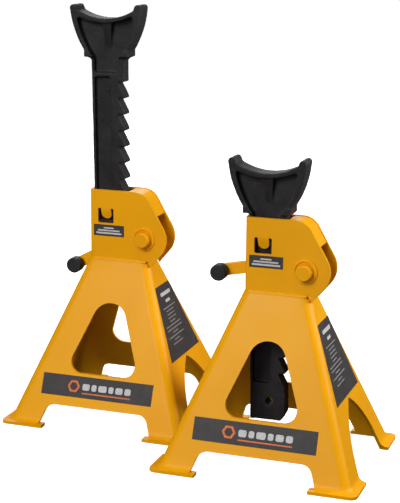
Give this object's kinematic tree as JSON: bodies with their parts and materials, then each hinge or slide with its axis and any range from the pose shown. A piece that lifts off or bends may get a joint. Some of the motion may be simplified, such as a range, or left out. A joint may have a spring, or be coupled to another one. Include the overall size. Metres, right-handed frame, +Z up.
{
  "type": "axle jack stands",
  "caption": "Pair of ratchet axle jack stands: pressed pyramid bases, toothed cast columns with cradle saddles, and pivoting pawl levers with rubber grips.",
  "frame": {"origin": "on the floor under the middle of the pair, at the bottom centre of the bounding box", "axes": "+Z up along the columns; +X to the right across the pair, from the left stand to the right stand; +Y to the back; the lever handles point to -X"},
  "size_m": [0.388, 0.246, 0.4212],
  "materials": {
    "yellow_paint": "satin gloss orange-yellow enamel over pressed steel sheet",
    "black_casting": "matt black, rough as cast",
    "dark_steel": "oiled dark steel, hidden inside the housing",
    "zinc": "bright zinc plate",
    "spring_steel": "black oxide",
    "grip_rubber": "matt black rubber",
    "label_film": null
  },
  "bodies": {
    "right_frame": {"right_base_front": "yellow_paint", "right_base_rear": "yellow_paint", "right_seam_welds": "yellow_paint", "right_housing": "yellow_paint", "right_cap_strip": "yellow_paint", "right_housing_welds": "yellow_paint", "right_pivot_pin": "yellow_paint", "right_pin_washer": "zinc", "right_pin_clip": "spring_steel", "right_front_label": "label_film", "right_side_label": "label_film", "right_cheek_label": "label_film"},
    "right_column": {"right_ratchet_column": "black_casting"},
    "right_lever": {"right_pawl": "dark_steel", "right_lever_arm": "yellow_paint", "right_arm_weld": "yellow_paint", "right_grip": "grip_rubber"},
    "left_frame": {"left_base_front": "yellow_paint", "left_base_rear": "yellow_paint", "left_seam_welds": "yellow_paint", "left_housing": "yellow_paint", "left_cap_strip": "yellow_paint", "left_housing_welds": "yellow_paint", "left_pivot_pin": "yellow_paint", "left_pin_washer": "zinc", "left_pin_clip": "spring_steel", "left_front_label": "label_film", "left_side_label": "label_film", "left_cheek_label": "label_film"},
    "left_column": {"left_ratchet_column": "black_casting"},
    "left_lever": {"left_pawl": "dark_steel", "left_lever_arm": "yellow_paint", "left_arm_weld": "yellow_paint", "left_grip": "grip_rubber"}
  },
  "joints": [
    {"name": "right_column_slide", "type": "slide", "parent": "right_frame", "child": "right_column", "axis": [-0.0175, 0, 0.9998], "range_m": [0, 0.13]},
    {"name": "right_lever_pivot", "type": "hinge", "parent": "right_frame", "child": "right_lever", "pos_m": [0.1215, -0.035, 0.1872], "axis": [0, 1, 0], "range_deg": [-22.2, 8.8]},
    {"name": "left_stand_shift", "type": "slide", "parent": "right_frame", "child": "left_frame", "axis": [1, 0, 0], "range_m": [-0.1, 0]},
    {"name": "left_column_slide", "type": "slide", "parent": "left_frame", "child": "left_column", "axis": [-0.0175, 0, 0.9998], "range_m": [-0.13, 0]},
    {"name": "left_lever_pivot", "type": "hinge", "parent": "left_frame", "child": "left_lever", "pos_m": [-0.0665, 0.035, 0.1872], "axis": [0, 1, 0], "range_deg": [-5, 26]}
  ]
}
